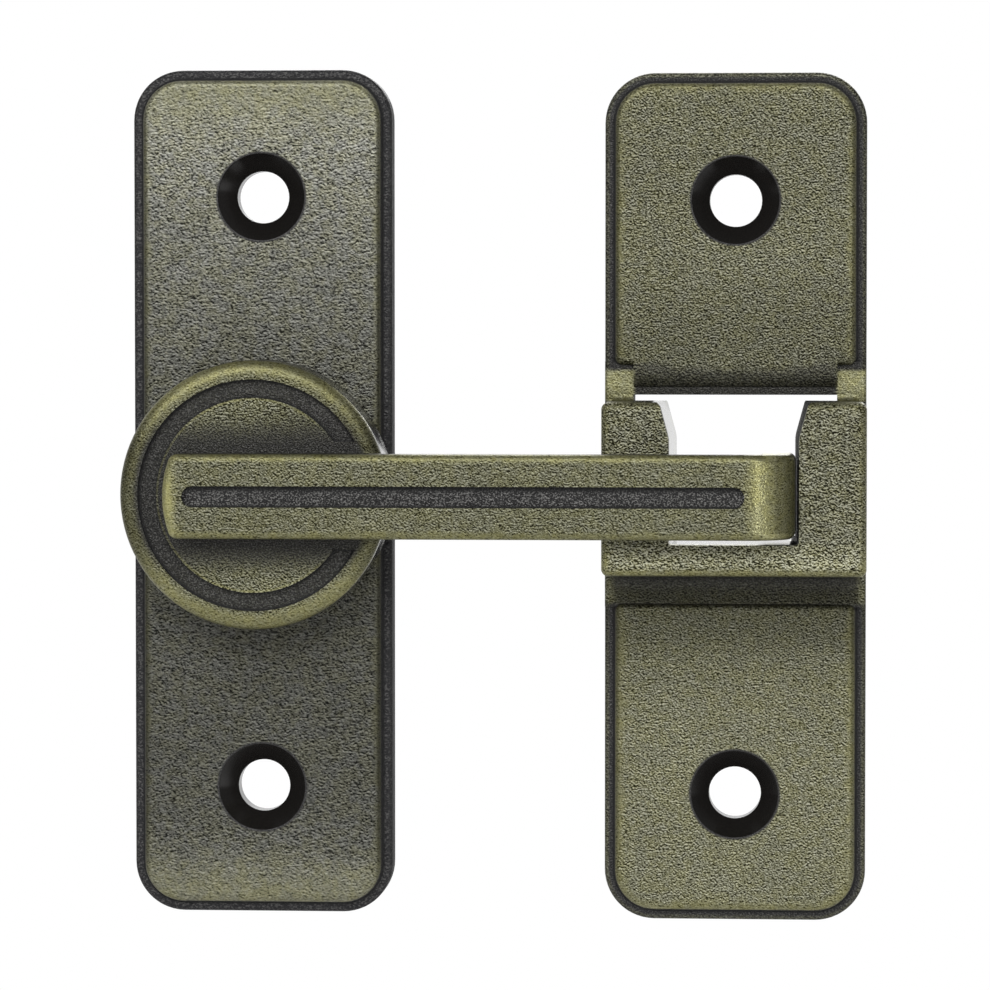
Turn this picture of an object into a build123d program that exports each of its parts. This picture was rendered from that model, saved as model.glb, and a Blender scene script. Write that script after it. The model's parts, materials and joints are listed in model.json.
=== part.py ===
from build123d import *
import math
import os

os.makedirs("parts", exist_ok=True)

# A barn door latch: a base plate that carries a turning lever, and a keeper whose slot takes the hook
# of the lever. Millimetres. +X is right, +Z is up, and the wall is the plane Y = 0 with the front
# towards -Y. The origin is on the wall, midway between the screw holes of the base plate. Each piece is
# drawn lying on its back, with x right, y up the wall and z the height above the wall, and is stood up
# when it is written.

# Plates, the same on the base plate and on the keeper
plate_width = 25.0
plate_length = 81.2
plate_corner_radius = 4.8
rim_width = 0.9
rim_height = 2.8
rim_edge_radius = 0.4
panel_height = 4.0
panel_draft = 0.25
panel_edge_radius = 0.6
screw_spacing = 56.8
screw_hole_diameter = 5.0
countersink_diameter = 8.3
countersink_lip = 0.2
countersink_angle = 90.0

# Pivot of the lever at the middle of the base plate, its stack from the front to the back
boss_diameter = 9.0
pivot_clearance = 0.05
friction_washer_diameter = 18.0
friction_washer_thickness = 0.7
washer_recess_depth = 0.4
washer_recess_clearance = 0.2
spring_washer_diameter = 14.6
spring_washer_thickness = 0.4
spring_washer_height = 0.7
retaining_washer_diameter = 14.0
retaining_washer_thickness = 0.7
pocket_clearance = 1.0
washer_bore_clearance = 0.3
pivot_screw_diameter = 4.0
pivot_screw_engagement = 5.0
screw_head_diameter = 7.6
screw_head_height = 0.8
screw_head_recess = 0.2
screw_thread_clearance = 0.02
screw_washer_clearance = 0.15
cross_slot_length = 3.6
cross_slot_width = 0.9
cross_slot_depth = 0.5

# Lever
disc_diameter = 25.6
disc_thickness = 6.9
disc_edge_radius = 1.2
disc_lower_edge_radius = 0.3
ring_diameter = 22.0
ring_width = 1.75
ring_depth = 0.7
ring_end_height = 10.2
arm_width = 8.0
arm_thickness = 3.4
arm_tail = 8.2
arm_tail_radius = 10.2
arm_tail_corner_radius = 0.9
arm_edge_radius = 0.7
arm_groove_width = 2.0
arm_groove_depth = 0.6
arm_groove_tail_wall = 1.9
arm_groove_bend_wall = 0.2
bend_radius = 4.5
hook_inner_radius = 1.2
hook_thickness = 3.5
hook_tip_radius = 1.0
hook_tip_clearance = 0.4
hook_side_clearance = 0.35
hook_floor_clearance = 0.6
arm_clearance = 0.5

# Keeper
plate_gap = 20.5
keeper_drop = 0.4
neck_step = 0.4
slot_width = 12.3
slot_depth = 13.45
slot_draft = 0.45
slot_corner_radius = 0.3
mouth_flare = 0.85
mouth_length = 3.4
mouth_blend_radius = 3.0
mouth_lip = 0.3
catch_height = 11.0
catch_web = 3.0
catch_corner_radius = 0.7
catch_edge_radius = 0.8
window_gap = 0.6
post_width = 2.8
post_fillet_radius = 0.7
lead_in_length = 2.75
lead_in_radius = 2.6
valley_width = 2.9
valley_fillet_radius = 1.6
panel_end_corner_radius = 0.8
neck_overlap = 0.4

# Heights above the wall that follow from the sizes
disc_base = panel_height - washer_recess_depth + friction_washer_thickness
disc_top = disc_base + disc_thickness
arm_underside = catch_height + arm_clearance
arm_top = arm_underside + arm_thickness
hook_tip = panel_height + hook_tip_clearance
pocket_depth = (
    spring_washer_height
    + retaining_washer_thickness
    + screw_head_height
    + screw_head_recess
)
boss_end = pocket_depth - spring_washer_height
neck_height = rim_height + neck_step

# Places across the wall: the lever's measured from the pivot axis, the keeper's from its own centre
keeper_right = plate_width + plate_gap
hook_outer = keeper_right + slot_width / 2 - hook_side_clearance
hook_inner = hook_outer - hook_thickness
slot_floor = keeper_drop - arm_width / 2 - hook_floor_clearance
catch_bottom = slot_floor - catch_web
catch_top = slot_floor + slot_depth
window_top = catch_top + window_gap
upper_panel_end = window_top + lead_in_length
lower_panel_end = catch_bottom - valley_width
window_half = plate_width / 2 - post_width

rising = (Align.CENTER, Align.CENTER, Align.MIN)
touch = 0.01  # places closer together than this count as the same


def disk(diameter, bottom, top):
    """An upright cylinder between two heights."""
    return Pos(0, 0, bottom) * Cylinder(diameter / 2, top - bottom, align=rising)


def block(left, right, low, high, bottom, top):
    """A box given by its limits to the sides, up the wall and above it."""
    middle = Pos((left + right) / 2, (low + high) / 2, bottom)
    return middle * Box(right - left, high - low, top - bottom, align=rising)


def top_edges(solid):
    """The edges round the highest flat face of a solid."""
    return solid.faces().sort_by(Axis.Z)[-1].edges()


def plate_flange():
    """The stepped rim: the full outline of a plate with its front edge rounded."""
    outline = RectangleRounded(plate_width, plate_length, plate_corner_radius)
    flange = extrude(outline, rim_height)
    return fillet(top_edges(flange), rim_edge_radius)


def raised_panel(outline):
    """A panel that stands on the rim, with drafted sides and a rounded front edge."""
    rise = panel_height - rim_height
    draft_angle = math.degrees(math.atan2(panel_draft, rise))
    panel = extrude(Pos(0, 0, rim_height) * outline, rise, taper=draft_angle)
    return fillet(top_edges(panel), panel_edge_radius)


def screw_holes():
    """The two countersunk holes of a plate, as the solids to cut away."""
    hole_radius = screw_hole_diameter / 2
    sink_radius = countersink_diameter / 2
    half_angle = math.radians(countersink_angle / 2)
    cone_depth = (sink_radius - hole_radius) / math.tan(half_angle)
    lip_bottom = panel_height - countersink_lip
    cone = Cone(hole_radius, sink_radius, cone_depth, align=rising)
    hole = disk(screw_hole_diameter, 0, panel_height)
    hole += Pos(0, 0, lip_bottom - cone_depth) * cone
    hole += disk(countersink_diameter, lip_bottom, panel_height)
    return [Pos(0, side * screw_spacing / 2, 0) * hole for side in (1, -1)]


def make_base_plate():
    """The left casting: rim, panel, screw holes and the bearing of the lever."""
    panel_width = plate_width - 2 * rim_width
    panel_length = plate_length - 2 * rim_width
    panel_corner = plate_corner_radius - rim_width
    plate = plate_flange()
    plate += raised_panel(RectangleRounded(panel_width, panel_length, panel_corner))
    plate -= screw_holes()
    recess_floor = panel_height - washer_recess_depth
    recess_diameter = friction_washer_diameter + 2 * washer_recess_clearance
    widest_washer = max(spring_washer_diameter, retaining_washer_diameter)
    bearing = disk(recess_diameter, recess_floor, panel_height)
    bearing += disk(boss_diameter + 2 * pivot_clearance, 0, panel_height)
    bearing += disk(widest_washer + 2 * pocket_clearance, 0, pocket_depth)
    return plate - bearing


def make_friction_washer():
    """The plain washer that the disc turns on."""
    floor = panel_height - washer_recess_depth
    bore = boss_diameter + 2 * washer_bore_clearance
    return disk(friction_washer_diameter, floor, disc_base) - disk(bore, floor, disc_base)


def make_spring_washer():
    """A conical washer, its outer edge on the pocket floor and its inner edge on the washer behind."""
    inner = boss_diameter / 2 + washer_bore_clearance
    outer = spring_washer_diameter / 2
    section = Polygon(
        (inner, boss_end),
        (outer, pocket_depth - spring_washer_thickness),
        (outer, pocket_depth),
        (inner, boss_end + spring_washer_thickness),
        align=None,
    )
    return revolve(Plane.XZ * section, Axis.Z)


def make_retaining_washer():
    """The flat washer that bears on the end of the boss."""
    low = boss_end - retaining_washer_thickness
    bore = pivot_screw_diameter + 2 * screw_washer_clearance
    return disk(retaining_washer_diameter, low, boss_end) - disk(bore, low, boss_end)


def make_pivot_screw():
    """The machine screw that enters the boss from behind, with a cross slot in its thin head."""
    seat = boss_end - retaining_washer_thickness
    head_back = seat - screw_head_height
    slot_half = cross_slot_length / 2
    slot_side = cross_slot_width / 2
    slot_top = head_back + cross_slot_depth
    screw = disk(screw_head_diameter, head_back, seat)
    screw += disk(pivot_screw_diameter, seat, boss_end + pivot_screw_engagement)
    screw -= block(-slot_half, slot_half, -slot_side, slot_side, head_back, slot_top)
    screw -= block(-slot_side, slot_side, -slot_half, slot_half, head_back, slot_top)
    return screw


def arm_plan():
    """The outline of the arm seen from the front, with a shallow arc across its tail."""
    half = arm_width / 2
    shoulder = arm_tail_radius - math.sqrt(arm_tail_radius**2 - half**2) - arm_tail
    sides = Polyline((shoulder, half), (hook_outer, half), (hook_outer, -half), (shoulder, -half))
    tail = ThreePointArc((shoulder, -half), (-arm_tail, 0), (shoulder, half))
    outline = make_face(sides + tail)
    return fillet(outline.vertices().group_by(Axis.X)[0], arm_tail_corner_radius)


def arm_side():
    """The outline of the arm seen from below: straight along, then bent down into the hook."""
    outline = Polygon(
        (-arm_tail, arm_underside),
        (-arm_tail, arm_top),
        (hook_outer, arm_top),
        (hook_outer, hook_tip),
        (hook_inner, hook_tip),
        (hook_inner, arm_underside),
        align=None,
    )
    corners = outline.vertices().sort_by_distance((hook_outer, arm_top))
    outline = fillet(corners[0], bend_radius)
    corners = outline.vertices().sort_by_distance((hook_inner, arm_underside))
    outline = fillet(corners[0], hook_inner_radius)
    tips = outline.vertices().group_by(Axis.Y)[0]
    return fillet(tips, hook_tip_radius)


def make_arm():
    """The straight arm with its hook, rounded along every edge except the upright ones of its tail."""
    arm = extrude(Plane.XZ * arm_side(), arm_width, both=True)
    arm &= extrude(arm_plan(), arm_top)

    def is_rounded(edge):
        middle = edge.center()
        if middle.X < 0:
            return abs(edge.tangent_at(0).Z) < touch
        return abs(abs(middle.Y) - arm_width / 2) < touch

    return fillet([edge for edge in arm.edges() if is_rounded(edge)], arm_edge_radius)


def make_latch_lever():
    """The turning casting: boss, disc with a ring groove, and the hooked arm with its long groove."""
    disc = disk(disc_diameter, disc_base, disc_top)
    disc = fillet(top_edges(disc), disc_edge_radius)
    under = disc.faces().sort_by(Axis.Z)[0].edges()
    disc = fillet(under, disc_lower_edge_radius)
    ring_floor = disc_top - ring_depth
    ring = disk(ring_diameter, ring_floor, disc_top)
    ring -= disk(ring_diameter - 2 * ring_width, ring_floor, disc_top)
    half_end = ring_end_height / 2
    ring -= block(0, ring_diameter, -half_end, half_end, ring_floor, disc_top)
    lever = disc - ring
    lever += disk(boss_diameter, boss_end, disc_base)
    foot_top = (arm_underside + arm_top) / 2
    lever += extrude(arm_plan(), foot_top) & disk(disc_diameter, disc_base, foot_top)
    lever += make_arm()
    groove_start = arm_groove_tail_wall - arm_tail
    groove_end = hook_outer - bend_radius - arm_groove_bend_wall
    groove = SlotOverall(groove_end - groove_start, arm_groove_width)
    groove_place = Pos((groove_start + groove_end) / 2, 0, arm_top - arm_groove_depth)
    lever -= groove_place * extrude(groove, arm_groove_depth)
    thread_bore = pivot_screw_diameter + 2 * screw_thread_clearance
    lever -= disk(thread_bore, boss_end, boss_end + pivot_screw_engagement)
    return lever


def slot_cut():
    """The U slot of the catch, flared at its mouth and drawn in a little towards the wall."""
    half = slot_width / 2
    mouth_half = half + mouth_flare
    mouth_start = catch_top - mouth_length
    lip_start = catch_top - mouth_lip
    past_mouth = catch_top + window_gap
    lip_half = mouth_half + past_mouth - lip_start
    right_side = [(half, slot_floor), (half, mouth_start), (mouth_half, lip_start), (lip_half, past_mouth)]
    left_side = [(-x, y) for x, y in reversed(right_side)]
    outline = Polygon(*right_side, *left_side, align=None)
    floor_corners = outline.vertices().group_by(Axis.Y)[0]
    outline = fillet(floor_corners, slot_corner_radius)
    blends = [v for v in outline.vertices() if abs(v.Y - mouth_start) < touch]
    outline = fillet(blends, mouth_blend_radius)
    lips = [v for v in outline.vertices() if abs(v.Y - lip_start) < touch]
    outline = fillet(lips, mouth_lip)
    draft_angle = math.degrees(math.atan2(slot_draft, catch_height))
    front = Pos(0, 0, catch_height) * outline
    return extrude(front, catch_height, dir=(0, 0, -1), taper=draft_angle)


def make_catch():
    """The raised block that takes the hook: rounded outside, with the U slot right through it."""
    half = plate_width / 2
    catch = block(-half, half, catch_bottom, catch_top, 0, catch_height)
    catch = fillet(catch.edges().filter_by(Axis.Z), catch_corner_radius)
    catch = fillet(top_edges(catch), catch_edge_radius)
    return catch - slot_cut()


def cove(left, right, wall, radius, direction):
    """A hollow fillet along x in the corner between the neck and a wall of the catch."""
    far = wall + direction * radius
    low, high = sorted((wall, far))
    corner = block(left, right, low, high, neck_height, neck_height + radius)
    round_bar = Rot(0, 90, 0) * Cylinder(radius, right - left)
    return corner - Pos((left + right) / 2, far, neck_height + radius) * round_bar


def end_panel(end, tip):
    """The outline of a keeper panel from its cut end to the rounded tip of the plate."""
    half = plate_width / 2 - rim_width
    low, high = sorted((end, tip))
    outline = Pos(0, (low + high) / 2) * Rectangle(2 * half, high - low)
    corners = outline.vertices().sort_by_distance((0, tip))
    outline = fillet(corners[:2], plate_corner_radius - rim_width)
    corners = outline.vertices().sort_by_distance((0, end))
    return fillet(corners[:2], panel_end_corner_radius)


def make_keeper():
    """The right casting: rim and two panels, with the window, its posts and the catch between them."""
    half = plate_width / 2
    tip = plate_length / 2 - rim_width
    keeper = plate_flange()
    neck_low = lower_panel_end - neck_overlap
    neck_high = upper_panel_end + neck_overlap
    neck = block(-half, half, neck_low, neck_high, 0, neck_height)
    neck_sides = [edge for edge in top_edges(neck) if abs(edge.center().X) > half / 2]
    keeper += fillet(neck_sides, rim_edge_radius)
    keeper += raised_panel(end_panel(upper_panel_end, tip))
    keeper += raised_panel(end_panel(lower_panel_end, -tip))
    keeper -= block(-window_half, window_half, slot_floor, window_top, 0, panel_height)
    tongue_root = upper_panel_end + panel_draft + panel_edge_radius
    tongue = block(-window_half, window_half, window_top, tongue_root, 0, panel_height)
    keeper += fillet(top_edges(tongue).sort_by(Axis.Y)[0], lead_in_radius)
    keeper += make_catch()
    catch_half = half - catch_corner_radius
    keeper += cove(-catch_half, catch_half, catch_bottom, valley_fillet_radius, -1)
    keeper += cove(-catch_half, -window_half, catch_top, post_fillet_radius, 1)
    keeper += cove(window_half, catch_half, catch_top, post_fillet_radius, 1)
    keeper -= screw_holes()
    return Pos(keeper_right, -keeper_drop, 0) * keeper


pieces = {
    "base_plate": make_base_plate(),
    "latch_lever": make_latch_lever(),
    "friction_washer": make_friction_washer(),
    "spring_washer": make_spring_washer(),
    "retaining_washer": make_retaining_washer(),
    "pivot_screw": make_pivot_screw(),
    "keeper": make_keeper(),
}

for name, piece in pieces.items():
    standing = (Rot(90, 0, 0) * piece).solid()
    standing.label = name
    export_step(standing, f"parts/{name}.step")
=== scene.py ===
import json

import bpy
import numpy as np
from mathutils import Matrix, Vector

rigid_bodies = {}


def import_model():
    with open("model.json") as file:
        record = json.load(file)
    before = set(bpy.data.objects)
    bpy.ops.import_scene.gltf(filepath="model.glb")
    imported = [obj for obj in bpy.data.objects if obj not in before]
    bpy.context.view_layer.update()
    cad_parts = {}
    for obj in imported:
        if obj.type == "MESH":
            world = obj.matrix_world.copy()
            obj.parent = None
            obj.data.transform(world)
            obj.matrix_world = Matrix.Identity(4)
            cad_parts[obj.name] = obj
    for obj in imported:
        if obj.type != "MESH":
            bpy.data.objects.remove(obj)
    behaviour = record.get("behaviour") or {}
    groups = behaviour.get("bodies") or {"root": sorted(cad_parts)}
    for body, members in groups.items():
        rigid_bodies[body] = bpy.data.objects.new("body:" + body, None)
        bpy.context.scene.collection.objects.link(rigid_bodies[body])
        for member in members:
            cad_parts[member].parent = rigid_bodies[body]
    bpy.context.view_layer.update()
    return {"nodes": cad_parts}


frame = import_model()
scene = bpy.context.scene
scene.view_settings.view_transform = "Standard"
mm = 0.001
perMetre = 1000.0  # mm in a metre, because the masks are worked out in mm
rimTop, panelTop, catchTop = 2.8, 4.0, 11.0  # heights above the wall, mm
discTop, armUnder, armTop = 11.2, 11.5, 14.9
print("frame loaded:", sorted(frame["nodes"]))

for stray in [o for o in scene.objects if o.type in {"CAMERA", "LIGHT"} or o.name == "Cube"]:
    bpy.data.objects.remove(stray)


# small helpers that lay nodes down and join them

def addNode(tree, kind, **settings):
    node = tree.nodes.new(kind)
    for key, value in settings.items():
        setattr(node, key, value)
    return node


def feed(tree, socket, value):
    if isinstance(value, bpy.types.NodeSocket):
        tree.links.new(value, socket)
    else:
        socket.default_value = value


def maths(tree, operation, first, second=0.0, clamp=False):
    node = addNode(tree, "ShaderNodeMath", operation=operation, use_clamp=clamp)
    feed(tree, node.inputs[0], first)
    feed(tree, node.inputs[1], second)
    return node.outputs[0]


def plus(tree, first, second):
    return maths(tree, "ADD", first, second)


def minus(tree, first, second):
    return maths(tree, "SUBTRACT", first, second)


def away(tree, value, middle=None):  # how far off a middle, to either side
    return maths(tree, "ABSOLUTE", value if middle is None else minus(tree, value, middle))


def both(tree, *masks):  # product of all
    whole = masks[0]
    for mask in masks[1:]:
        whole = maths(tree, "MULTIPLY", whole, mask)
    return whole


def either(tree, *masks):  # greatest of all
    whole = masks[0]
    for mask in masks[1:]:
        whole = maths(tree, "MAXIMUM", whole, mask)
    return whole


def invert(tree, mask):
    return minus(tree, 1.0, mask)


def across(tree, dx, dz):  # straight distance: root of dx squared plus dz squared
    return maths(tree, "SQRT", plus(tree, both(tree, dx, dx), both(tree, dz, dz)))


def fade(tree, value, start, end, low=0.0, high=1.0):
    node = addNode(tree, "ShaderNodeMapRange", interpolation_type="SMOOTHSTEP")  # soft step from low to high
    for socket, item in zip(node.inputs, (value, start, end, low, high)):
        feed(tree, socket, item)
    return node.outputs[0]


def ease(tree, mask, low, high):  # from low to high as the mask fills
    return fade(tree, mask, 0.0, 1.0, low, high)


def curve(tree, value, points):
    node = addNode(tree, "ShaderNodeFloatCurve")  # smooth line through (place, amount) pairs, both 0 to 1
    line = node.mapping.curves[0]
    while len(line.points) < len(points):
        line.points.new(0.5, 0.5)
    for point, location in zip(line.points, points):
        point.location = location
        point.handle_type = "AUTO_CLAMPED"
    node.mapping.update()
    feed(tree, node.inputs["Value"], value)
    return node.outputs[0]


def tint(tree, factor, first, second, mode="MIX"):
    node = addNode(tree, "ShaderNodeMix", data_type="RGBA", blend_type=mode)
    for socket, value in zip((node.inputs[0], node.inputs[6], node.inputs[7]), (factor, first, second)):
        feed(tree, socket, value)
    return node.outputs[2]


def mixValue(tree, factor, first, second):
    node = addNode(tree, "ShaderNodeMix", data_type="FLOAT")
    for socket, value in zip((node.inputs[0], node.inputs[2], node.inputs[3]), (factor, first, second)):
        feed(tree, socket, value)
    return node.outputs[0]


def noise(tree, vector, scale, detail, roughness, output="Fac"):
    node = addNode(tree, "ShaderNodeTexNoise")
    feed(tree, node.inputs["Vector"], vector)
    feed(tree, node.inputs["Scale"], scale)
    node.inputs["Detail"].default_value = detail
    node.inputs["Roughness"].default_value = roughness
    return node.outputs[output]


def vectorMath(tree, operation, first, second):
    node = addNode(tree, "ShaderNodeVectorMath", operation=operation)
    feed(tree, node.inputs[0], first)
    feed(tree, node.inputs["Scale"] if operation == "SCALE" else node.inputs[1], second)
    return node.outputs["Value"] if operation == "LENGTH" else node.outputs[0]


def split(tree, vector):
    node = addNode(tree, "ShaderNodeSeparateXYZ")
    feed(tree, node.inputs[0], vector)
    return node.outputs


def newGroup(name, inputs, outputs):
    tree = bpy.data.node_groups.new(name, "ShaderNodeTree")
    for label, kind, value in inputs:
        socket = tree.interface.new_socket(label, in_out="INPUT", socket_type="NodeSocket" + kind)
        if value is not None:
            socket.default_value = value
    for label, kind in outputs:
        tree.interface.new_socket(label, in_out="OUTPUT", socket_type="NodeSocket" + kind)
    return tree, addNode(tree, "NodeGroupInput").outputs, addNode(tree, "NodeGroupOutput").inputs


def place(tree, group, **values):
    node = addNode(tree, "ShaderNodeGroup", node_tree=group)
    for label, value in values.items():
        feed(tree, node.inputs[label], value)
    return node.outputs


# cast grain: a fine noise over a broad one, on stretched and warped coordinates, gives a leathery height.
# tone is the height less the height a little further up: a painted top light, so flanks turned up are painted light
# and the others painted dark

castLook = {
    "scale": 1750.0,  # of the noise, for swellings 1 mm apart
    "warpScale": 0.3, "warpReach": 1.4,
    "broadScale": 0.4, "broadShare": 0.2,
    "paintedLightStep": (0.12, 0.0, 0.62),  # a step mostly upwards, toward the painted top light
    "speckScale": 1.2,
}


def makeCastGrain(look):
    tree, given, made = newGroup(
        "castGrain",
        [("Vector", "Vector", None), ("Size", "Float", 0.4), ("Stretch", "Float", 1.0), ("Flank", "Float", 1.0)],
        [("Height", "Float"), ("Tone", "Float"), ("Speck", "Float")],
    )
    scale = maths(tree, "DIVIDE", look["scale"], given["Size"])  # size is the mm from one swelling to the next
    squeeze = addNode(tree, "ShaderNodeCombineXYZ")
    squeeze.inputs[1].default_value = 1.0
    squeeze.inputs[2].default_value = 1.0
    feed(tree, squeeze.inputs[0], maths(tree, "DIVIDE", 1.0, given["Stretch"]))
    grid = vectorMath(tree, "SCALE", vectorMath(tree, "MULTIPLY", given["Vector"], squeeze.outputs[0]), scale)
    drift = vectorMath(tree, "SUBTRACT", noise(tree, grid, look["warpScale"], 1.0, 0.5, "Color"), (0.5, 0.5, 0.5))
    warped = vectorMath(tree, "ADD", grid, vectorMath(tree, "SCALE", drift, look["warpReach"]))
    broad = noise(tree, warped, look["broadScale"], 1.0, 0.5)
    fine = noise(tree, warped, 1.0, 1.0, 0.4)
    further = noise(tree, vectorMath(tree, "ADD", warped, look["paintedLightStep"]), 1.0, 1.0, 0.4)
    height = plus(tree, both(tree, broad, look["broadShare"]), both(tree, fine, 1.0 - look["broadShare"]))
    feed(tree, made["Height"], fade(tree, height, 0.25, 0.75))
    flank = both(tree, minus(tree, fine, further), given["Flank"])
    swell = minus(tree, height, 0.5)
    feed(tree, made["Tone"], maths(tree, "ADD", 0.5, plus(tree, flank, swell), clamp=True))
    feed(tree, made["Speck"], fade(tree, noise(tree, grid, look["speckScale"], 1.0, 0.5), 0.46, 0.68))
    return tree


# distance in mm from the border of an upright rounded rectangle, counted inwards

def makeBorderDistance():
    tree, given, made = newGroup(
        "borderDistance",
        [("Vector", "Vector", None), ("Middle X", "Float", 0.0), ("Middle Z", "Float", 0.0),
         ("Half X", "Float", 10.0), ("Half Z", "Float", 10.0), ("Corner", "Float", 1.0)],
        [("Inside", "Float")],
    )
    at = split(tree, vectorMath(tree, "SCALE", given["Vector"], perMetre))
    reach = []
    for axis, middle, half in ((0, "Middle X", "Half X"), (2, "Middle Z", "Half Z")):
        off = away(tree, at[axis], given[middle])
        reach.append(minus(tree, off, minus(tree, given[half], given["Corner"])))
    outX, outZ = (maths(tree, "MAXIMUM", r, 0.0) for r in reach)
    inner = maths(tree, "MINIMUM", either(tree, *reach), 0.0)
    feed(tree, made["Inside"], minus(tree, given["Corner"], plus(tree, across(tree, outX, outZ), inner)))
    return tree


# distance in mm from the lever's axis, which runs straight out of the wall

def makeAxisDistance():
    tree, given, made = newGroup("axisDistance", [("Vector", "Vector", None)], [("Radius", "Float")])
    at = split(tree, vectorMath(tree, "SCALE", given["Vector"], perMetre))
    feed(tree, made["Radius"], across(tree, at[0], at[2]))
    return tree


# aged plating: black skin, olive where brushed, yellow where rubbed smooth.
# rub runs from grainy olive to smooth yellow, dark from brushed to untouched black,
# line marks sharp inside corners and carries painted shade beside the hook and along the groove's top, polish the
# bend that hands have worn, bare the walls rubbed to bright metal and gloss the cut countersinks; tone and shine
# carry painted highlight and shade

platingLook = {
    "cloudScale": 190.0, "cloudShade": (0.95, 1.05),
    "hueScale": 900.0, "warm": (1.02, 1.01, 0.9, 1), "cool": (0.975, 0.985, 1.07, 1),
    "rubCalm": 0.65,  # how much of the grain rubbing takes away
    # painted highlight on the grain: how much lighter, how much paler, and the pale grey it turns to
    "topLight": 0.8, "topPale": 0.35, "topColour": (0.3, 0.3, 0.27, 1), "pitShade": 0.09,
    "gritColour": (0.19, 0.187, 0.18, 1), "glossColour": (0.0115, 0.0105, 0.0095, 1),
    "lineColour": (0.009, 0.009, 0.009, 1), "lineShare": 0.85,
    "roughBrushed": 0.45, "roughBlack": 0.55, "roughPolish": 0.28, "roughBare": 0.11,
    "roughLine": 0.9, "roughGloss": 0.2, "roughDrift": 0.1,
    "metalBrushed": 0.75, "metalBlack": 0.88, "dullGloss": 0.7, "dullLine": 0.9,
}


def makeAgedPlating(look):
    tree, given, made = newGroup(
        "agedPlating",
        [("Vector", "Vector", None), ("Height", "Float", 0.5), ("Tone", "Float", 0.5), ("Speck", "Float", 0.0),
         ("Rub", "Float", 0.0), ("Dark", "Float", 0.0), ("Line", "Float", 0.0), ("Polish", "Float", 0.0),
         ("Bare", "Float", 0.0), ("Gloss", "Float", 0.0), ("Shine", "Float", 1.0), ("Relief", "Float", 1.0),
         ("Grit", "Float", 0.42), ("Back Shade", "Float", 1.0), ("Pit Tint", "Color", (1, 1, 1, 1)),
         ("Olive", "Color", (0.2, 0.2, 0.13, 1)), ("Yellow", "Color", (0.3, 0.28, 0.1, 1)),
         ("Black", "Color", (0.022, 0.021, 0.021, 1))],
        [("Color", "Color"), ("Roughness", "Float"), ("Metallic", "Float"), ("Bump", "Float")],
    )
    cloud = noise(tree, given["Vector"], look["cloudScale"], 3.0, 0.55)
    cloudShade = fade(tree, cloud, 0.3, 0.7, *look["cloudShade"])
    grainy = invert(tree, both(tree, given["Rub"], look["rubCalm"]))
    swing = both(tree, minus(tree, given["Tone"], 0.5), grainy, given["Relief"])
    light = fade(tree, swing, -0.02, 0.34, 0.0, look["topLight"])  # painted highlight on tops and on flanks turned up
    pit = fade(tree, swing, 0.02, -0.24)  # hollows that stay black, and painted shade on flanks turned down
    tone = both(tree, plus(tree, 1.0, light), mixValue(tree, pit, 1.0, look["pitShade"]))

    drift = fade(tree, noise(tree, given["Vector"], look["hueScale"], 2.0, 0.6), 0.34, 0.66)
    hue = tint(tree, drift, look["warm"], look["cool"])  # patches of warmer and cooler bronze
    brushed = tint(tree, 1.0, tint(tree, given["Rub"], given["Olive"], given["Yellow"]), hue, "MULTIPLY")
    pale = tint(tree, both(tree, light, look["topPale"]), brushed, look["topColour"])
    # tone and shine multiply painted highlight and shade into the colour; the cloud is random mottle
    shade = both(tree, cloudShade, tone, given["Shine"])
    pitted = tint(tree, pit, tint(tree, 1.0, pale, shade, "MULTIPLY"), given["Pit Tint"], "MULTIPLY")
    skin = tint(tree, both(tree, given["Speck"], given["Grit"]), given["Black"], look["gritColour"])
    metal = tint(tree, given["Dark"], pitted, skin)
    metal = tint(tree, both(tree, given["Line"], look["lineShare"]), metal, look["lineColour"])
    metal = tint(tree, 1.0, metal, given["Back Shade"], "MULTIPLY")
    feed(tree, made["Color"], tint(tree, given["Gloss"], metal, look["glossColour"]))

    covered = either(tree, given["Dark"], pit)
    rough = mixValue(tree, covered, look["roughBrushed"], look["roughBlack"])
    rough = mixValue(tree, given["Polish"], rough, look["roughPolish"])
    rough = plus(tree, rough, both(tree, minus(tree, cloud, 0.5), look["roughDrift"]))
    rough = mixValue(tree, given["Bare"], rough, look["roughBare"])
    rough = mixValue(tree, given["Line"], rough, look["roughLine"])
    feed(tree, made["Roughness"], mixValue(tree, given["Gloss"], rough, look["roughGloss"]))

    dull = either(tree, both(tree, given["Gloss"], look["dullGloss"]), both(tree, given["Line"], look["dullLine"]))
    metallic = mixValue(tree, either(tree, covered, given["Bare"]), look["metalBrushed"], look["metalBlack"])
    feed(tree, made["Metallic"], maths(tree, "SUBTRACT", metallic, dull, clamp=True))
    calm = both(tree, grainy, invert(tree, given["Gloss"]))
    feed(tree, made["Bump"], both(tree, given["Height"], calm, given["Relief"]))
    return tree


# linished back: fine noise drawn out along x gives the sanding lines, and four round
# marks, a shallow dish each, show where the casting was pushed out of its mould

backLook = {
    "drawnOut": (60.0, 900.0, 1500.0), "lineScale": 2.2, "lineShade": 3.4, "lineHeight": 0.35,
    "blotchScale": 130.0, "blotchShade": (1.5, 2.3), "darkest": 0.4,
    "pinX": 8.4, "pinZ": 18.0, "pinRadius": 1.9,  # marks, mm from the middle
    "pinLift": 1.2, "pinLines": 0.35, "pinRing": 0.45,
}


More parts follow.
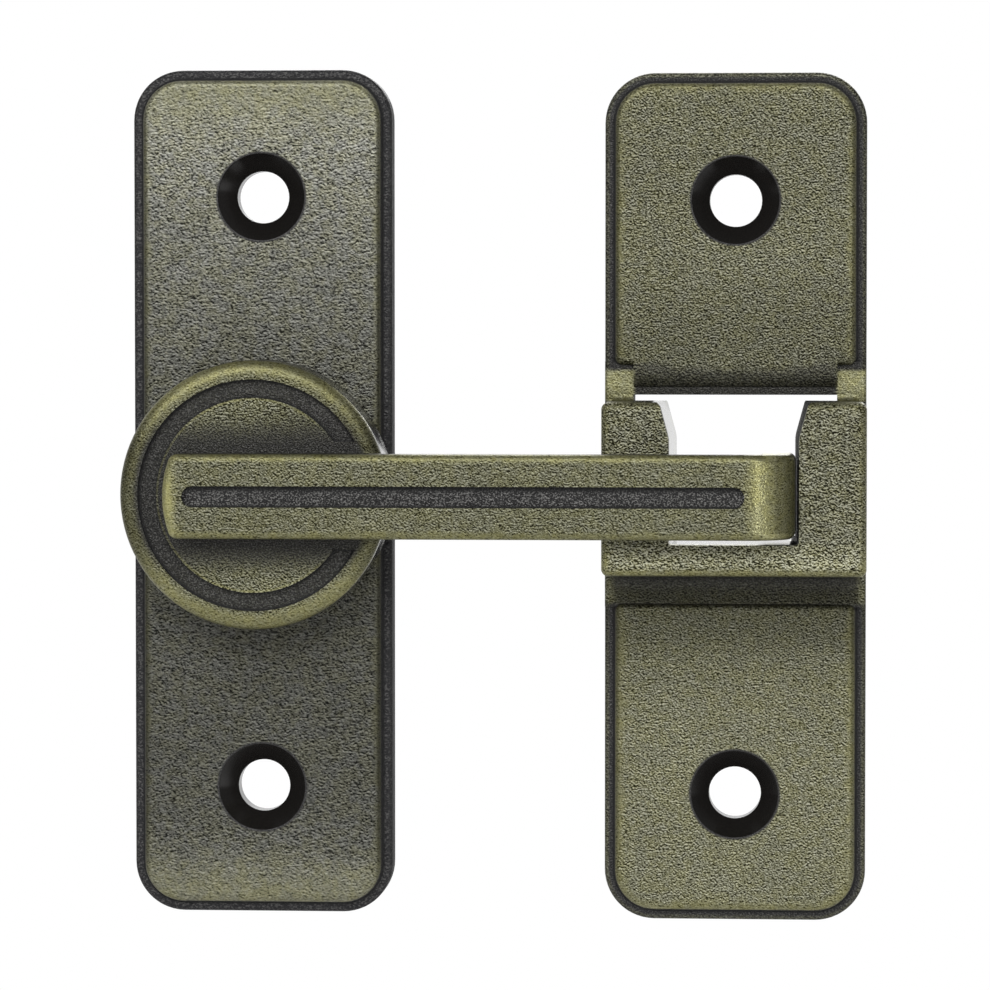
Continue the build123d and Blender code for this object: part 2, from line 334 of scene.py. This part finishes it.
def makeLinishedBack(look):
    tree, given, made = newGroup(
        "linishedBack",
        [("Vector", "Vector", None), ("Middle X", "Float", 0.0), ("Middle Z", "Float", 0.0)],
        [("Shade", "Float"), ("Height", "Float")],
    )
    lines = noise(tree, vectorMath(tree, "MULTIPLY", given["Vector"], look["drawnOut"]), look["lineScale"], 3.0, 0.65)
    blotch = noise(tree, given["Vector"], look["blotchScale"], 3.0, 0.6)
    at = split(tree, vectorMath(tree, "SCALE", given["Vector"], perMetre))
    dx = minus(tree, away(tree, at[0], given["Middle X"]), look["pinX"])
    dz = minus(tree, away(tree, at[2], given["Middle Z"]), look["pinZ"])
    radius = across(tree, dx, dz)
    dishEdge = (look["pinRadius"] - 0.15, look["pinRadius"])
    dish = fade(tree, radius, *dishEdge)
    calmLines = both(tree, minus(tree, lines, 0.5), fade(tree, radius, *dishEdge, look["pinLines"], 1.0))
    blotchShade = fade(tree, blotch, 0.3, 0.7, *look["blotchShade"])
    shade = either(tree, plus(tree, blotchShade, both(tree, calmLines, look["lineShade"])), look["darkest"])
    ring = fade(tree, away(tree, radius, look["pinRadius"] - 0.07), 0.16, 0.02, 1.0, look["pinRing"])
    feed(tree, made["Shade"], both(tree, shade, ring))
    height = plus(tree, both(tree, dish, look["pinLift"]), both(tree, calmLines, look["lineHeight"]))
    feed(tree, made["Height"], height)
    return tree


castGrain = makeCastGrain(castLook)
borderDistance = makeBorderDistance()
axisDistance = makeAxisDistance()
agedPlating = makeAgedPlating(platingLook)
linishedBack = makeLinishedBack(backLook)
print("shared finishes ready")


def newMaterial(name):
    material = bpy.data.materials.new(name)
    material.use_nodes = True
    tree = material.node_tree
    tree.nodes.clear()
    shader = addNode(tree, "ShaderNodeBsdfPrincipled")
    tree.links.new(shader.outputs[0], addNode(tree, "ShaderNodeOutputMaterial").inputs[0])
    return material, tree, shader


def addBump(tree, shader, height, depth):
    bump = addNode(tree, "ShaderNodeBump")
    bump.inputs["Strength"].default_value = 1.0
    bump.inputs["Distance"].default_value = depth * mm
    feed(tree, bump.inputs["Height"], height)
    feed(tree, shader.inputs["Normal"], bump.outputs[0])


def surfaceSense(tree):
    coords = addNode(tree, "ShaderNodeTexCoord")
    facing = split(tree, coords.outputs["Normal"])
    at = split(tree, vectorMath(tree, "SCALE", coords.outputs["Object"], perMetre))
    return {
        "place": coords.outputs["Object"],
        "x": at[0], "z": at[2],
        "lift": both(tree, at[1], -1.0),  # height above the wall, mm
        "front": both(tree, facing[1], -1.0),  # 1 faces the room, -1 the wall
    }


def waver(tree, sense, look):  # uneven offset, mm, that breaks up the borders of the wear
    return both(tree, minus(tree, noise(tree, sense["place"], look["waverScale"], 2.0, 0.6), 0.5), look["waverReach"])


def plateBronze(name, look, masks):
    material, tree, shader = newMaterial(name)
    sense = surfaceSense(tree)
    grainSizes = {"Size": look["grainSize"], "Stretch": look["grainStretch"], "Flank": look["flank"]}
    grain = place(tree, castGrain, Vector=sense["place"], **grainSizes)
    middle = {"Middle X": look["middleX"], "Middle Z": look["middleZ"]}
    linished = place(tree, linishedBack, Vector=sense["place"], **middle)
    onBack = both(tree, fade(tree, sense["front"], -0.7, -0.95), fade(tree, sense["lift"], 0.2, 0.05))
    tones = {
        "Height": grain["Height"], "Tone": grain["Tone"], "Speck": grain["Speck"],
        "Olive": look["olive"], "Yellow": look["yellow"], "Black": look["black"], "Pit Tint": look["pitTint"],
        "Back Shade": mixValue(tree, onBack, 1.0, linished["Shade"]),
    }
    tones.update(masks(tree, sense, look))
    plating = place(tree, agedPlating, Vector=sense["place"], **tones)
    for label, output in (("Base Color", "Color"), ("Roughness", "Roughness"), ("Metallic", "Metallic")):
        feed(tree, shader.inputs[label], plating[output])
    addBump(tree, shader, mixValue(tree, onBack, plating["Bump"], linished["Height"]), look["grainDepth"])
    return material


# what both plates have: rim, raised panel and countersunk holes

plateShape = {
    "halfWidth": 11.6, "halfLength": 39.7, "corner": 3.9,  # raised panel, mm
    "plateEnd": 40.6, "holeUp": 28.4, "sinkRadius": 4.15,
}


def insideOf(tree, sense, middleX, middleZ, halfX, halfZ, corner):
    sizes = {"Middle X": middleX, "Middle Z": middleZ, "Half X": halfX, "Half Z": halfZ, "Corner": corner}
    return place(tree, borderDistance, Vector=sense["place"], **sizes)["Inside"]


def plateMasks(tree, sense, look):
    lift, sinkRadius = sense["lift"], look["sinkRadius"]
    fromX = minus(tree, sense["x"], look["middleX"])
    fromZ = minus(tree, sense["z"], look["middleZ"])
    panel = (look["middleX"], look["middleZ"], look["halfWidth"], look["halfLength"], look["corner"])
    inside = insideOf(tree, sense, *panel)
    hole = across(tree, fromX, minus(tree, away(tree, fromZ), look["holeUp"]))
    cut = fade(tree, hole, sinkRadius + 0.12, sinkRadius + 0.02)
    foot = both(tree, fade(tree, lift, rimTop + 0.6, rimTop + 0.25), fade(tree, lift, rimTop - 0.6, rimTop - 0.2))
    along = maths(tree, "DIVIDE", plus(tree, fromZ, look["plateEnd"]), 2 * look["plateEnd"])  # 0 bottom, 1 top
    sideIn = minus(tree, look["halfWidth"], away(tree, fromX))
    return {
        "fromX": fromX, "fromZ": fromZ, "inside": inside,
        "raised": fade(tree, lift, rimTop + 0.3, panelTop - 0.35),
        "step": both(tree, fade(tree, away(tree, inside), 0.22, 0.05), foot),  # corner between rim and panel
        "sink": both(tree, cut, fade(tree, sense["front"], -0.5, -0.2)),
        "sinkRim": fade(tree, hole, sinkRadius + 0.32, sinkRadius + 0.1),
        # painted sheen and shade: bands along the plate from bottom to top, and darker toward the long sides
        "shine": both(tree, curve(tree, along, look["shineAlong"]), look["shineLevel"]),
        "sideShade": fade(tree, sideIn, 0.1, 0.85, look["sideShade"], 1.0),
    }


# base plate

basePlate = {
    **plateShape, "middleX": 0.0, "middleZ": 0.0,
    "grainSize": 0.3, "grainStretch": 1.45, "flank": 0.58, "grainDepth": 0.045, "relief": 0.9,
    "olive": (0.162, 0.161, 0.13, 1), "yellow": (0.175, 0.171, 0.1, 1),
    "black": (0.033, 0.0325, 0.034, 1), "pitTint": (1, 1, 0.95, 1),
    "waverScale": 420.0, "waverReach": 2.2,
    "edgeRub": 0.8, "endRub": 0.65, "sideLine": 0.6,
    "shineAlong": [(0.0, 0.76), (0.04, 0.7), (0.085, 0.42), (0.15, 0.33), (0.3, 0.3),
                   (0.5, 0.34), (0.68, 0.46), (0.8, 0.6), (0.95, 0.82), (1.0, 0.85)],
    "shineLevel": 1.6, "sideShade": 0.58,
}


def basePlateMasks(tree, sense, look):
    plate = plateMasks(tree, sense, look)
    drift = waver(tree, sense, look)
    edge = fade(tree, plus(tree, plate["inside"], both(tree, drift, 0.5)), 1.1, 0.15)
    ends = fade(tree, plus(tree, away(tree, plate["fromZ"]), drift), 33.0, 39.0, 0.0, look["endRub"])
    keeperSide = fade(tree, sense["x"], 12.0, 12.3)  # the edge turned to the keeper gets a dark line
    return {
        "Rub": both(tree, either(tree, both(tree, edge, look["edgeRub"]), ends), plate["raised"]),
        "Dark": either(tree, invert(tree, plate["raised"]), plate["sinkRim"]),
        "Line": either(tree, plate["step"], both(tree, keeperSide, look["sideLine"])),
        "Gloss": plate["sink"],
        "Shine": both(tree, plate["shine"], plate["sideShade"]),
        "Relief": look["relief"],
    }


frame["nodes"]["base_plate"].data.materials[0] = plateBronze("plateBronze", basePlate, basePlateMasks)
print("base plate dressed")


# lever: disc, ring, arm, groove and hook

lever = {
    "middleX": 0.0, "middleZ": 0.0,
    "grainSize": 0.28, "grainStretch": 1.23, "flank": 0.6, "grainDepth": 0.04,
    "olive": (0.138, 0.136, 0.08, 1), "yellow": (0.25, 0.241, 0.115, 1), "bareMetalSheen": (0.25, 0.25, 0.245, 1),
    "black": (0.027, 0.0265, 0.0265, 1), "pitTint": (1, 0.97, 0.72, 1),
    "waverScale": 500.0, "waverReach": 1.6,
    "discRadius": 12.8, "ringOuter": 11.0, "ringInner": 9.25, "ringEnd": 5.1,  # mm
    "armHalf": 4.0, "armLeft": -8.2, "grooveHalf": 1.0, "bendStart": 46.75, "hookFace": 51.25,
    "edgeRub": 0.75, "bendRub": (0.92, 0.62), "rimRub": (0.4, 0.8), "lipHighlight": 0.6,
    "armShadeDark": 0.88, "armWallDark": 0.5, "backDark": 0.8, "lipDark": 0.45,
    "discShine": (0.5, 1.0), "rightShade": 0.24, "armShine": 0.94, "tailShine": 0.3, "bareShine": 0.35, "gleam": 1.45,
    "skinGrit": 0.42, "grooveGrit": 0.9, "discRelief": 1.25, "bareRelief": 0.15,
}


def leverMasks(tree, sense, look):
    x, z, lift = sense["x"], sense["z"], sense["lift"]
    inner, outer, bendStart, armLeft = look["ringInner"], look["ringOuter"], look["bendStart"], look["armLeft"]
    radius = place(tree, axisDistance, Vector=sense["place"])["Radius"]
    drift = waver(tree, sense, look)
    slightDrift = both(tree, drift, 0.4)
    wideDrift = both(tree, drift, 2.0)
    fromMiddle = away(tree, z)

    # where things are
    past = fade(tree, x, bendStart - 1.2, bendStart + 0.3)  # from the bend to the hook's tip
    before = invert(tree, past)
    onArm = either(tree, fade(tree, lift, armTop - 0.9, armTop - 0.35), past)
    onDisc = both(tree, fade(tree, lift, discTop - 1.2, discTop - 0.6),
                  fade(tree, lift, armUnder - 0.05, armUnder - 0.2), before)
    armWall = both(tree, fade(tree, lift, armUnder - 0.1, armUnder + 0.1),
                   fade(tree, lift, armTop - 0.6, armTop - 1.1), before)
    discWall = both(tree, fade(tree, radius, look["discRadius"] - 0.3, look["discRadius"] - 0.1),
                    fade(tree, lift, discTop - 0.7, discTop - 1.2), before)
    bareAndSheenWall = both(tree, discWall, fade(tree, plus(tree, x, wideDrift), 5.0, 9.0),  # pale wall turned to the keeper: bare metal with a painted reflection of the light from that side
                    fade(tree, plus(tree, lift, wideDrift), 4.4, 7.4, 0.1, 1.0))
    lowWall = both(tree, fade(tree, lift, discTop - 2.5, discTop - 5.0), before, invert(tree, bareAndSheenWall))
    ringFloor = both(tree, fade(tree, lift, discTop - 0.15, discTop - 0.4), fade(tree, radius, inner - 0.2, inner),
                     fade(tree, radius, outer + 0.15, outer - 0.05))
    grooveFloor = both(tree, fade(tree, lift, armTop - 1.0, armTop - 0.8),
                       fade(tree, lift, armTop - 0.1, armTop - 0.35),
                       fade(tree, fromMiddle, look["grooveHalf"] + 0.3, look["grooveHalf"]),
                       fade(tree, x, bendStart + 0.1, bendStart - 0.2), fade(tree, x, armLeft + 1.5, armLeft + 1.8))
    lip = both(tree, fade(tree, away(tree, radius, inner - 0.14), 0.16, 0.04),  # painted highlight line inside the ring
               fade(tree, lift, discTop - 0.12, discTop - 0.04), onDisc, fade(tree, x, 8.0, 5.0))

    # edges that hands have rubbed, the painted highlight line in the ring, and the bare wall with its painted
    # reflection
    armEdge = fade(tree, plus(tree, minus(tree, look["armHalf"], fromMiddle), slightDrift), 0.95, 0.35)
    tailEdge = fade(tree, plus(tree, minus(tree, x, armLeft), drift), 1.8, 0.6)
    bend = fade(tree, plus(tree, x, slightDrift), bendStart - 0.6, bendStart + 1.0)
    bendRub = both(tree, bend, fade(tree, x, bendStart + 1.6, bendStart + 2.8, *look["bendRub"]))
    armRub = both(tree, either(tree, both(tree, armEdge, look["edgeRub"]), tailEdge, bendRub), onArm)
    discRim = fade(tree, plus(tree, radius, both(tree, drift, 0.35)), 11.0, 11.9)
    discRub = both(tree, discRim, onDisc, fade(tree, fromMiddle, 3.5, 10.0, *look["rimRub"]))
    rub = either(tree, armRub, discRub, both(tree, lip, look["lipHighlight"]), bareAndSheenWall)

    # hollows that stayed black, and painted shade on the disc face next to the arm
    shadeNearArm = both(tree, fade(tree, fromMiddle, 7.9, 4.5), fade(tree, radius, 11.6, 10.9), onDisc)
    behind = fade(tree, sense["front"], -0.2, -0.6)
    dark = either(tree, both(tree, ringFloor, onDisc), both(tree, shadeNearArm, look["armShadeDark"]), grooveFloor, lowWall,
                  both(tree, armWall, look["armWallDark"]), both(tree, behind, look["backDark"]))
    dark = both(tree, dark, ease(tree, lip, 1.0, look["lipDark"]))

    # dark lines in the sharp corners of ring and groove, painted shadow along the groove's top, and painted shade on
    # the face turned to the slot's wall
    ringSides = either(tree, fade(tree, away(tree, radius, inner), 0.24, 0.06),
                       fade(tree, away(tree, radius, outer), 0.34, 0.1))
    ringEnds = both(tree, fade(tree, away(tree, fromMiddle, look["ringEnd"]), 0.22, 0.05),
                    ringFloor, fade(tree, x, 0.0, 1.0))
    ringLine = both(tree, either(tree, both(tree, ringSides, onDisc), ringEnds),
                    fade(tree, lift, discTop - 0.1, discTop - 0.3))
    grooveLine = both(tree, grooveFloor, either(tree, fade(tree, z, 0.3, 0.75), fade(tree, z, -0.72, -0.92)))
    hookFace = both(tree, fade(tree, x, look["hookFace"] - 0.25, look["hookFace"] - 0.05),
                    fade(tree, lift, armTop - 3.4, armTop - 4.0))

    # painted sheen and shade over disc, arm and bend
    upperRight = both(tree, fade(tree, x, -5.0, 8.0, 0.0, look["rightShade"]), fade(tree, z, -1.0, 1.0))
    shine = both(tree, fade(tree, fromMiddle, 4.0, 9.5, *look["discShine"]), invert(tree, upperRight))
    shine = mixValue(tree, either(tree, onArm, armWall), shine, look["armShine"])
    lit = either(tree, both(tree, tailEdge, onArm, look["tailShine"]), both(tree, bareAndSheenWall, look["bareShine"]))
    gleam = both(tree, fade(tree, x, bendStart + 1.3, bendStart + 1.9),  # painted highlight, palest where the bend turns away
                 fade(tree, x, bendStart + 3.0, bendStart + 2.4))
    shine = both(tree, plus(tree, shine, lit), ease(tree, gleam, 1.0, look["gleam"]))
    discRelief = mixValue(tree, onDisc, 1.0, fade(tree, radius, inner, outer, look["discRelief"], 1.0))
    return {
        "Rub": rub, "Dark": dark, "Shine": shine, "Bare": bareAndSheenWall,
        "Line": either(tree, ringLine, grooveLine, hookFace),
        "Polish": either(tree, both(tree, bend, past), discWall),
        "Grit": mixValue(tree, grooveFloor, look["skinGrit"], look["grooveGrit"]),
        "Relief": both(tree, discRelief, ease(tree, bareAndSheenWall, 1.0, look["bareRelief"])),
        "Yellow": tint(tree, bareAndSheenWall, look["yellow"], look["bareMetalSheen"]),
    }


frame["nodes"]["latch_lever"].data.materials[0] = plateBronze("leverBronze", lever, leverMasks)
print("lever dressed")


# keeper: two panels, catch block, posts, tongue and valley

keeper = {
    **plateShape, "middleX": 45.5, "middleZ": -0.4,
    "grainSize": 0.28, "grainStretch": 1.25, "flank": 0.65, "grainDepth": 0.045,
    "olive": (0.134, 0.132, 0.081, 1), "yellow": (0.18, 0.173, 0.085, 1), "bareMetalSheen": (0.2, 0.2, 0.195, 1),
    "black": (0.033, 0.0325, 0.0325, 1), "deepBlack": (0.007, 0.007, 0.007, 1), "pitTint": (1, 0.97, 0.7, 1),
    "waverScale": 420.0, "waverReach": 2.0,
    "blockMiddle": 0.63, "blockHalfWidth": 12.5, "blockHalfLength": 8.23, "blockCorner": 0.7,  # mm
    "valleyFoot": -10.6, "blockFoot": -7.55, "windowFoot": 9.2, "windowTop": 11.85,
    "postInner": 9.65, "slotRight": 5.4,
    "edgeRub": 0.8, "blockRub": (0.5, 0.95), "postRub": 0.5, "bareRub": 0.8,
    "rimDark": (0.7, 0.35), "tongueDark": 0.5, "valleyDark": (0.05, 0.7), "valleyEndDark": 0.2, "wallDark": 0.45,
    "shineAlong": [(0.0, 0.72), (0.2, 0.7), (0.3, 0.56), (0.365, 0.35), (0.375, 0.56), (0.62, 0.56),
                   (0.66, 0.44), (0.74, 0.5), (0.77, 0.57), (0.81, 0.57), (0.87, 0.535), (1.0, 0.55)],
    "shineLevel": 1.8, "sideShade": 0.68, "postShine": (0.1, 0.95), "webShine": (0.8, 0.25),
    "valleyShine": 0.36, "bareShine": 0.5,
    "skinGrit": 0.42, "tongueGrit": 0.1,
    "panelRelief": (0.95, 1.2), "catchRelief": 1.42, "postRelief": 0.6, "bareRelief": 0.1,
}


def keeperMasks(tree, sense, look):
    z, lift, front = sense["z"], sense["lift"], sense["front"]
    windowFoot, slotRight = look["windowFoot"], look["slotRight"]
    plate = plateMasks(tree, sense, look)
    drift = waver(tree, sense, look)
    fromX, inside, raised = plate["fromX"], plate["inside"], plate["raised"]
    fromMiddle = away(tree, fromX)

    # where things are
    aboveValley = fade(tree, z, look["valleyFoot"] - 0.25, look["valleyFoot"] + 0.25)
    inBlockRows = both(tree, aboveValley, fade(tree, z, look["windowTop"] + 0.25, look["windowTop"] - 0.25))
    atSides = fade(tree, fromMiddle, look["postInner"] - 0.25, look["postInner"] + 0.25)
    inWindow = both(tree, invert(tree, atSides), fade(tree, z, windowFoot - 0.1, windowFoot + 0.1))
    shown = fade(tree, lift, 1.6, 2.6)
    posts = both(tree, inBlockRows, shown, atSides, fade(tree, z, 8.65, 8.95))
    valley = both(tree, aboveValley, shown, fade(tree, z, look["blockFoot"] + 0.1, look["blockFoot"] - 0.1))
    valleyEnds = both(tree, valley, fade(tree, fromMiddle, 11.2, 12.3))
    freeRows = either(tree, posts, valley, fade(tree, lift, panelTop + 0.1, panelTop + 0.7))
    sag = plus(tree, both(tree, drift, 0.35), both(tree, fromX, fromX, -0.009))  # bow of the tongue's border
    tongue = both(tree, fade(tree, plus(tree, z, sag), 12.3, 11.2), inWindow)
    underTongue = both(tree, fade(tree, z, 12.0, 11.0), inWindow, fade(tree, lift, rimTop + 0.7, rimTop))
    wall = both(tree, fade(tree, lift, catchTop - 0.8, catchTop - 1.4), inBlockRows,
                fade(tree, away(tree, front), 0.5, 0.2))
    inSlot = both(tree, wall, fade(tree, fromMiddle, 8.0, 7.6), fade(tree, z, -5.55, -4.95))
    bareAndSheenWall = both(tree, inSlot, fade(tree, fromX, slotRight + 0.2, slotRight - 0.2))  # rubbed bright by the hook, with a painted reflection on top
    hookGapShade = both(tree, inSlot, fade(tree, fromX, slotRight - 0.2, slotRight + 0.2))  # painted shade in the gap beside the hook

    # edges that hands and hook have rubbed
    edge = fade(tree, plus(tree, inside, both(tree, drift, 0.6)), 1.4, 0.2)
    flat = fade(tree, lift, panelTop + 0.7, panelTop + 0.2)
    blockHalves = (look["blockHalfWidth"], look["blockHalfLength"])
    blockInside = insideOf(tree, sense, look["middleX"], look["blockMiddle"], *blockHalves, look["blockCorner"])
    blockEdge = fade(tree, plus(tree, blockInside, both(tree, drift, 0.2)), 0.95, 0.35)
    onBlock = fade(tree, lift, catchTop - 2.0, catchTop - 0.8)
    blockRub = both(tree, blockEdge, onBlock, fade(tree, z, -5.05, -6.55, *look["blockRub"]))
    rub = either(tree, both(tree, edge, raised, flat, look["edgeRub"]), blockRub,
                 both(tree, posts, look["postRub"]), both(tree, bareAndSheenWall, look["bareRub"]))

    # hollows that stayed black, painted shadow in the valley under the catch block, deepest black under the tongue
    outerRim = both(tree, fade(tree, inside, -0.25, -0.75), fade(tree, lift, rimTop - 0.9, rimTop - 0.4))  # brushed
    rimDark = ease(tree, outerRim, 1.0, fade(tree, z, -39.0, -37.0, *look["rimDark"]))
    underBlock = both(tree, valley, fade(tree, z, -10.1, -7.95, *look["valleyDark"]),
                      fade(tree, fromMiddle, 11.2, 12.3, 1.0, look["valleyEndDark"]))
    dark = both(tree, invert(tree, raised), rimDark, invert(tree, freeRows))
    dark = either(tree, dark, both(tree, tongue, look["tongueDark"]), underBlock, both(tree, wall, look["wallDark"]))
    behind = fade(tree, front, -0.2, -0.6)
    dark = either(tree, both(tree, dark, invert(tree, bareAndSheenWall)), behind, plate["sinkRim"])

    # painted sheen and shade from the bottom to the top
    shine = both(tree, plate["shine"], either(tree, plate["sideShade"], freeRows))
    shine = plus(tree, shine, both(tree, posts, fade(tree, z, 9.25, 10.35, *look["postShine"])))
    web = both(tree, fade(tree, lift, catchTop - 1.9, catchTop - 0.9), fade(tree, z, -3.75, -6.95))
    shine = plus(tree, shine, both(tree, web, fade(tree, z, -6.4, -7.1, *look["webShine"])))
    shine = both(tree, shine, mixValue(tree, valley, 1.0, ease(tree, valleyEnds, look["valleyShine"], 1.0)))
    shine = plus(tree, shine, both(tree, bareAndSheenWall, look["bareShine"]))
    panelRelief = fade(tree, z, -5.0, 5.0, *look["panelRelief"])
    relief = fade(tree, lift, catchTop - 1.9, catchTop - 0.4, panelRelief, look["catchRelief"])
    calm = both(tree, ease(tree, posts, 1.0, look["postRelief"]), ease(tree, bareAndSheenWall, 1.0, look["bareRelief"]))
    return {
        "Rub": rub, "Dark": dark, "Shine": shine, "Bare": bareAndSheenWall, "Gloss": plate["sink"],
        "Line": either(tree, hookGapShade, both(tree, plate["step"], invert(tree, freeRows))),
        "Relief": both(tree, relief, calm),
        "Yellow": tint(tree, bareAndSheenWall, look["yellow"], look["bareMetalSheen"]),
        "Black": tint(tree, underTongue, look["black"], look["deepBlack"]),
        "Grit": mixValue(tree, underTongue, look["skinGrit"], look["tongueGrit"]),
    }


frame["nodes"]["keeper"].data.materials[0] = plateBronze("keeperBronze", keeper, keeperMasks)
print("keeper dressed")


# washers and screw behind the plate: rings round the axis over a fine mottle, with a darker ring at one radius

zincSteel = {
    "colour": (0.3, 0.3, 0.285, 1), "metallic": 1.0, "roughness": (0.32, 0.5), "depth": 0.012,
    "ringScale": 9.0, "mottleScale": 900.0, "darkRingRadius": 3.85,
}
springSteel = {
    "colour": (0.16, 0.152, 0.145, 1), "metallic": 1.0, "roughness": (0.3, 0.5), "depth": 0.01,
    "ringScale": 5.0, "mottleScale": 700.0, "darkRingRadius": 7.2,
}
nylon = {
    "colour": (0.7, 0.69, 0.64, 1), "metallic": 0.0, "roughness": (0.42, 0.55), "depth": 0.004,
    "ringScale": 2.5, "mottleScale": 500.0, "darkRingRadius": 9.0,
}


def turnedFinish(name, look):
    material, tree, shader = newMaterial(name)
    at = surfaceSense(tree)["place"]
    radius = place(tree, axisDistance, Vector=at)["Radius"]
    rings = noise(tree, radius, look["ringScale"], 3.0, 0.6)
    mottle = noise(tree, at, look["mottleScale"], 4.0, 0.6)
    shade = plus(tree, fade(tree, rings, 0.3, 0.7, -0.12, 0.12), fade(tree, mottle, 0.3, 0.7, 0.8, 1.1))
    darkRing = fade(tree, away(tree, radius, look["darkRingRadius"]), 0.03, 0.4, 0.3, 1.0)
    feed(tree, shader.inputs["Base Color"], tint(tree, 1.0, look["colour"], both(tree, shade, darkRing), "MULTIPLY"))
    feed(tree, shader.inputs["Roughness"], fade(tree, plus(tree, rings, mottle), 0.7, 1.3, *look["roughness"]))
    shader.inputs["Metallic"].default_value = look["metallic"]
    addBump(tree, shader, rings, look["depth"])
    return material


zincLook = turnedFinish("zincSteel", zincSteel)
frame["nodes"]["retaining_washer"].data.materials[0] = zincLook
frame["nodes"]["pivot_screw"].data.materials[0] = zincLook
frame["nodes"]["spring_washer"].data.materials[0] = turnedFinish("springSteel", springSteel)
frame["nodes"]["friction_washer"].data.materials[0] = turnedFinish("washerNylon", nylon)
print("washers and screw dressed")


# floor, light and camera

studio = {
    "floorDrop": 0.076, "floorReach": 0.6, "floorRings": 11, "floorSpokes": 96,
    "floorGrey": (0.9, 0.9, 0.9, 1), "floorRoughness": 0.9, "whiteFrom": 0.1, "whiteTo": 0.17,
    "camera": (0.0546, -0.450, 0.0172), "aim": (0.02222, 0.0, -0.00033), "lens": 169.7, "sensor": 36.0,
    "worldLevel": 0.2,
    "lamps": {
        "topSoftbox": {"place": (-0.1, -0.8, 0.55), "size": (0.9, 0.6), "power": 6.0},
        "rightStrip": {"place": (0.47, -0.86, 0.03), "size": (0.1, 0.8), "power": 2.6},
        "leftFill": {"place": (-0.55, -0.8, 0.15), "size": (0.4, 0.6), "power": 1.2},
        "backFill": {"place": (0.1, 0.8, 0.5), "size": (0.8, 0.6), "power": 6.0},
    },
}


def makeFloor(look):
    # a disc on rings and spokes: x = r cos(t), y = r sin(t), closed by triangles round its middle
    ringCount, spokeCount, drop = look["floorRings"], look["floorSpokes"], look["floorDrop"]
    radii = np.linspace(0.0, look["floorReach"], ringCount + 1)[1:]
    angles = np.linspace(0, 2 * np.pi, spokeCount, endpoint=False)
    r, t = np.meshgrid(radii, angles, indexing="ij")
    points = np.stack([r * np.cos(t), r * np.sin(t), np.full_like(r, -drop)], -1).reshape(-1, 3)
    points = np.vstack([points, [[0, 0, -drop]]])
    ring, spoke = np.meshgrid(np.arange(ringCount - 1), np.arange(spokeCount), indexing="ij")
    here, there = ring * spokeCount, (ring + 1) * spokeCount
    nextSpoke = (spoke + 1) % spokeCount
    quads = np.stack([here + spoke, there + spoke, there + nextSpoke, here + nextSpoke], -1).reshape(-1, 4)
    hub = np.stack([np.full(spokeCount, len(points) - 1), spoke[0], nextSpoke[0]], -1)
    mesh = bpy.data.meshes.new("floor")
    mesh.from_pydata(points.tolist(), [], quads.tolist() + hub.tolist())
    floor = bpy.data.objects.new("floor", mesh)
    scene.collection.objects.link(floor)

    # grey paper that takes the shadow, plain white further out, and nothing to see from below
    material, tree, shader = newMaterial("floorPaper")
    shader.inputs["Base Color"].default_value = look["floorGrey"]
    shader.inputs["Roughness"].default_value = look["floorRoughness"]
    coords = addNode(tree, "ShaderNodeTexCoord")
    fromMiddle = vectorMath(tree, "LENGTH", coords.outputs["Object"], (0, 0, 0))
    path = addNode(tree, "ShaderNodeLightPath").outputs
    seen = either(tree, path["Is Camera Ray"], path["Is Glossy Ray"], path["Is Transmission Ray"])
    paper = addNode(tree, "ShaderNodeMixShader")
    feed(tree, paper.inputs[0], both(tree, fade(tree, fromMiddle, look["whiteFrom"], look["whiteTo"]), seen))
    tree.links.new(shader.outputs[0], paper.inputs[1])
    tree.links.new(addNode(tree, "ShaderNodeEmission").outputs[0], paper.inputs[2])
    under = addNode(tree, "ShaderNodeMixShader")
    feed(tree, under.inputs[0], addNode(tree, "ShaderNodeNewGeometry").outputs["Backfacing"])
    tree.links.new(paper.outputs[0], under.inputs[1])
    tree.links.new(addNode(tree, "ShaderNodeBsdfTransparent").outputs[0], under.inputs[2])
    output = next(n for n in tree.nodes if n.type == "OUTPUT_MATERIAL")
    tree.links.new(under.outputs[0], output.inputs[0])
    mesh.materials.append(material)


def makeWorld(look):
    world = bpy.data.worlds.new("studioAir")
    scene.world = world
    world.use_nodes = True
    tree = world.node_tree
    tree.nodes.clear()
    path = addNode(tree, "ShaderNodeLightPath").outputs
    heading = split(tree, addNode(tree, "ShaderNodeTexCoord").outputs["Generated"])
    room = fade(tree, heading[1], 0.0, 0.8, look["worldLevel"], 1.0)  # white behind the part, dimmer in front of it
    level = mixValue(tree, path["Is Glossy Ray"], look["worldLevel"], room)
    seen = either(tree, path["Is Camera Ray"], path["Is Transmission Ray"])
    air = addNode(tree, "ShaderNodeBackground")
    air.inputs["Color"].default_value = (1, 1, 1, 1)
    feed(tree, air.inputs["Strength"], mixValue(tree, seen, level, 1.0))
    tree.links.new(air.outputs[0], addNode(tree, "ShaderNodeOutputWorld").inputs[0])


def turnTo(holder, aim):
    holder.rotation_euler = (Vector(aim) - holder.location).to_track_quat("-Z", "Y").to_euler()
    scene.collection.objects.link(holder)


def makeLamps(look):
    for name, lamp in look["lamps"].items():
        light = bpy.data.lights.new(name, "AREA")
        light.shape = "RECTANGLE"
        light.size, light.size_y = lamp["size"]
        light.energy = lamp["power"]
        holder = bpy.data.objects.new(name, light)
        holder.location = lamp["place"]
        turnTo(holder, look["aim"])


def makeCamera(look):
    lens = bpy.data.cameras.new("photoCamera")
    lens.lens = look["lens"]
    lens.sensor_width = look["sensor"]
    lens.clip_start, lens.clip_end = 0.01, 20.0
    camera = bpy.data.objects.new("photoCamera", lens)
    camera.location = look["camera"]
    turnTo(camera, look["aim"])
    scene.camera = camera


makeFloor(studio)
makeWorld(studio)
makeLamps(studio)
makeCamera(studio)
print("studio ready")
